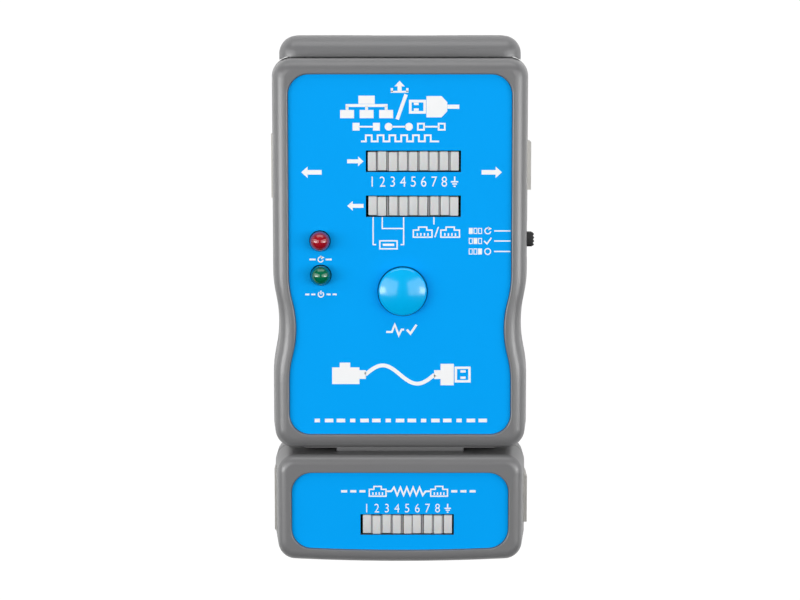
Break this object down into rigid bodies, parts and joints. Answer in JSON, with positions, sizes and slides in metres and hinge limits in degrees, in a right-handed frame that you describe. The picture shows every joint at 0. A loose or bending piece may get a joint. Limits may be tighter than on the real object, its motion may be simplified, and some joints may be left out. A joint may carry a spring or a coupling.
{
  "type": "network cable tester",
  "caption": "Handheld network cable tester with rows of indicator lights, a round test button, a slide switch, end and side sockets, and a docked remote terminator.",
  "frame": {"origin": "on the flat back, in the middle of its width and halfway along the docked length", "axes": "+Z out of the face, +Y towards the end sockets, +X to the right seen from the front"},
  "size_m": [0.0664, 0.1317, 0.0297],
  "materials": {
    "casing_grey": "satin",
    "label_blue": "satin",
    "button_blue": "gloss",
    "black_plastic": "matte",
    "white_plastic": "satin",
    "board_green": "satin",
    "screw_steel": "satin",
    "led_white": "gloss",
    "led_red": "gloss",
    "led_green": "gloss",
    "battery_case": "satin",
    "lead_red": "satin",
    "lead_black": "satin",
    "socket_metal": "satin",
    "contact_gold": "polished"
  },
  "bodies": {
    "main_unit": {"front_shell": "casing_grey", "rear_shell": "casing_grey", "end_block": "casing_grey", "face_label": "label_blue", "main_board": "board_green", "board_screws": "screw_steel", "case_screws": "screw_steel", "tx_leds": "led_white", "rx_leds": "led_white", "auto_led": "led_red", "power_led": "led_green", "test_switch": "black_plastic", "mode_switch": "black_plastic", "battery": "battery_case", "battery_snap": "black_plastic", "lead_red": "lead_red", "lead_black": "lead_black", "capacitors": "black_plastic", "controller_chip": "black_plastic", "resistors": "black_plastic", "tx_lan_shell": "socket_metal", "tx_lan_insert": "black_plastic", "tx_lan_contacts": "contact_gold", "rx_lan_shell": "socket_metal", "rx_lan_insert": "black_plastic", "rx_lan_contacts": "contact_gold", "tx_usb_b_shell": "socket_metal", "tx_usb_b_insert": "white_plastic", "tx_usb_b_contacts": "contact_gold", "rx_usb_shell": "socket_metal", "rx_usb_insert": "white_plastic", "rx_usb_contacts": "contact_gold", "tx_usb_a_shell": "socket_metal", "tx_usb_a_tongue": "white_plastic", "tx_usb_a_contacts": "contact_gold"},
    "test_button": {"test_button": "button_blue", "test_plunger": "black_plastic"},
    "mode_knob": {"mode_knob": "black_plastic"},
    "battery_door": {"battery_door": "casing_grey"},
    "remote": {"remote_front_shell": "casing_grey", "remote_rear_shell": "casing_grey", "remote_label": "label_blue", "remote_board": "board_green", "remote_leds": "led_white", "remote_resistors": "black_plastic", "remote_screws": "screw_steel", "remote_lan_shell": "socket_metal", "remote_lan_insert": "black_plastic", "remote_lan_contacts": "contact_gold", "remote_usb_shell": "socket_metal", "remote_usb_insert": "white_plastic", "remote_usb_contacts": "contact_gold"}
  },
  "joints": [
    {"name": "test_button_press", "type": "slide", "parent": "main_unit", "child": "test_button", "axis": [0, 0, -1], "range_m": [0, 0.001], "stiffness_N_per_m": 400},
    {"name": "mode_knob_slide", "type": "slide", "parent": "main_unit", "child": "mode_knob", "axis": [0, 1, 0], "range_m": [-0.00265, 0.00265]},
    {"name": "battery_door_hinge", "type": "hinge", "parent": "main_unit", "child": "battery_door", "pos_m": [0, -0.0053, 0], "axis": [1, 0, 0], "range_deg": [0, 85]},
    {"name": "remote_lift", "type": "slide", "parent": "main_unit", "child": "remote", "axis": [0, 0, 1], "range_m": [0, 0.03]}
  ]
}
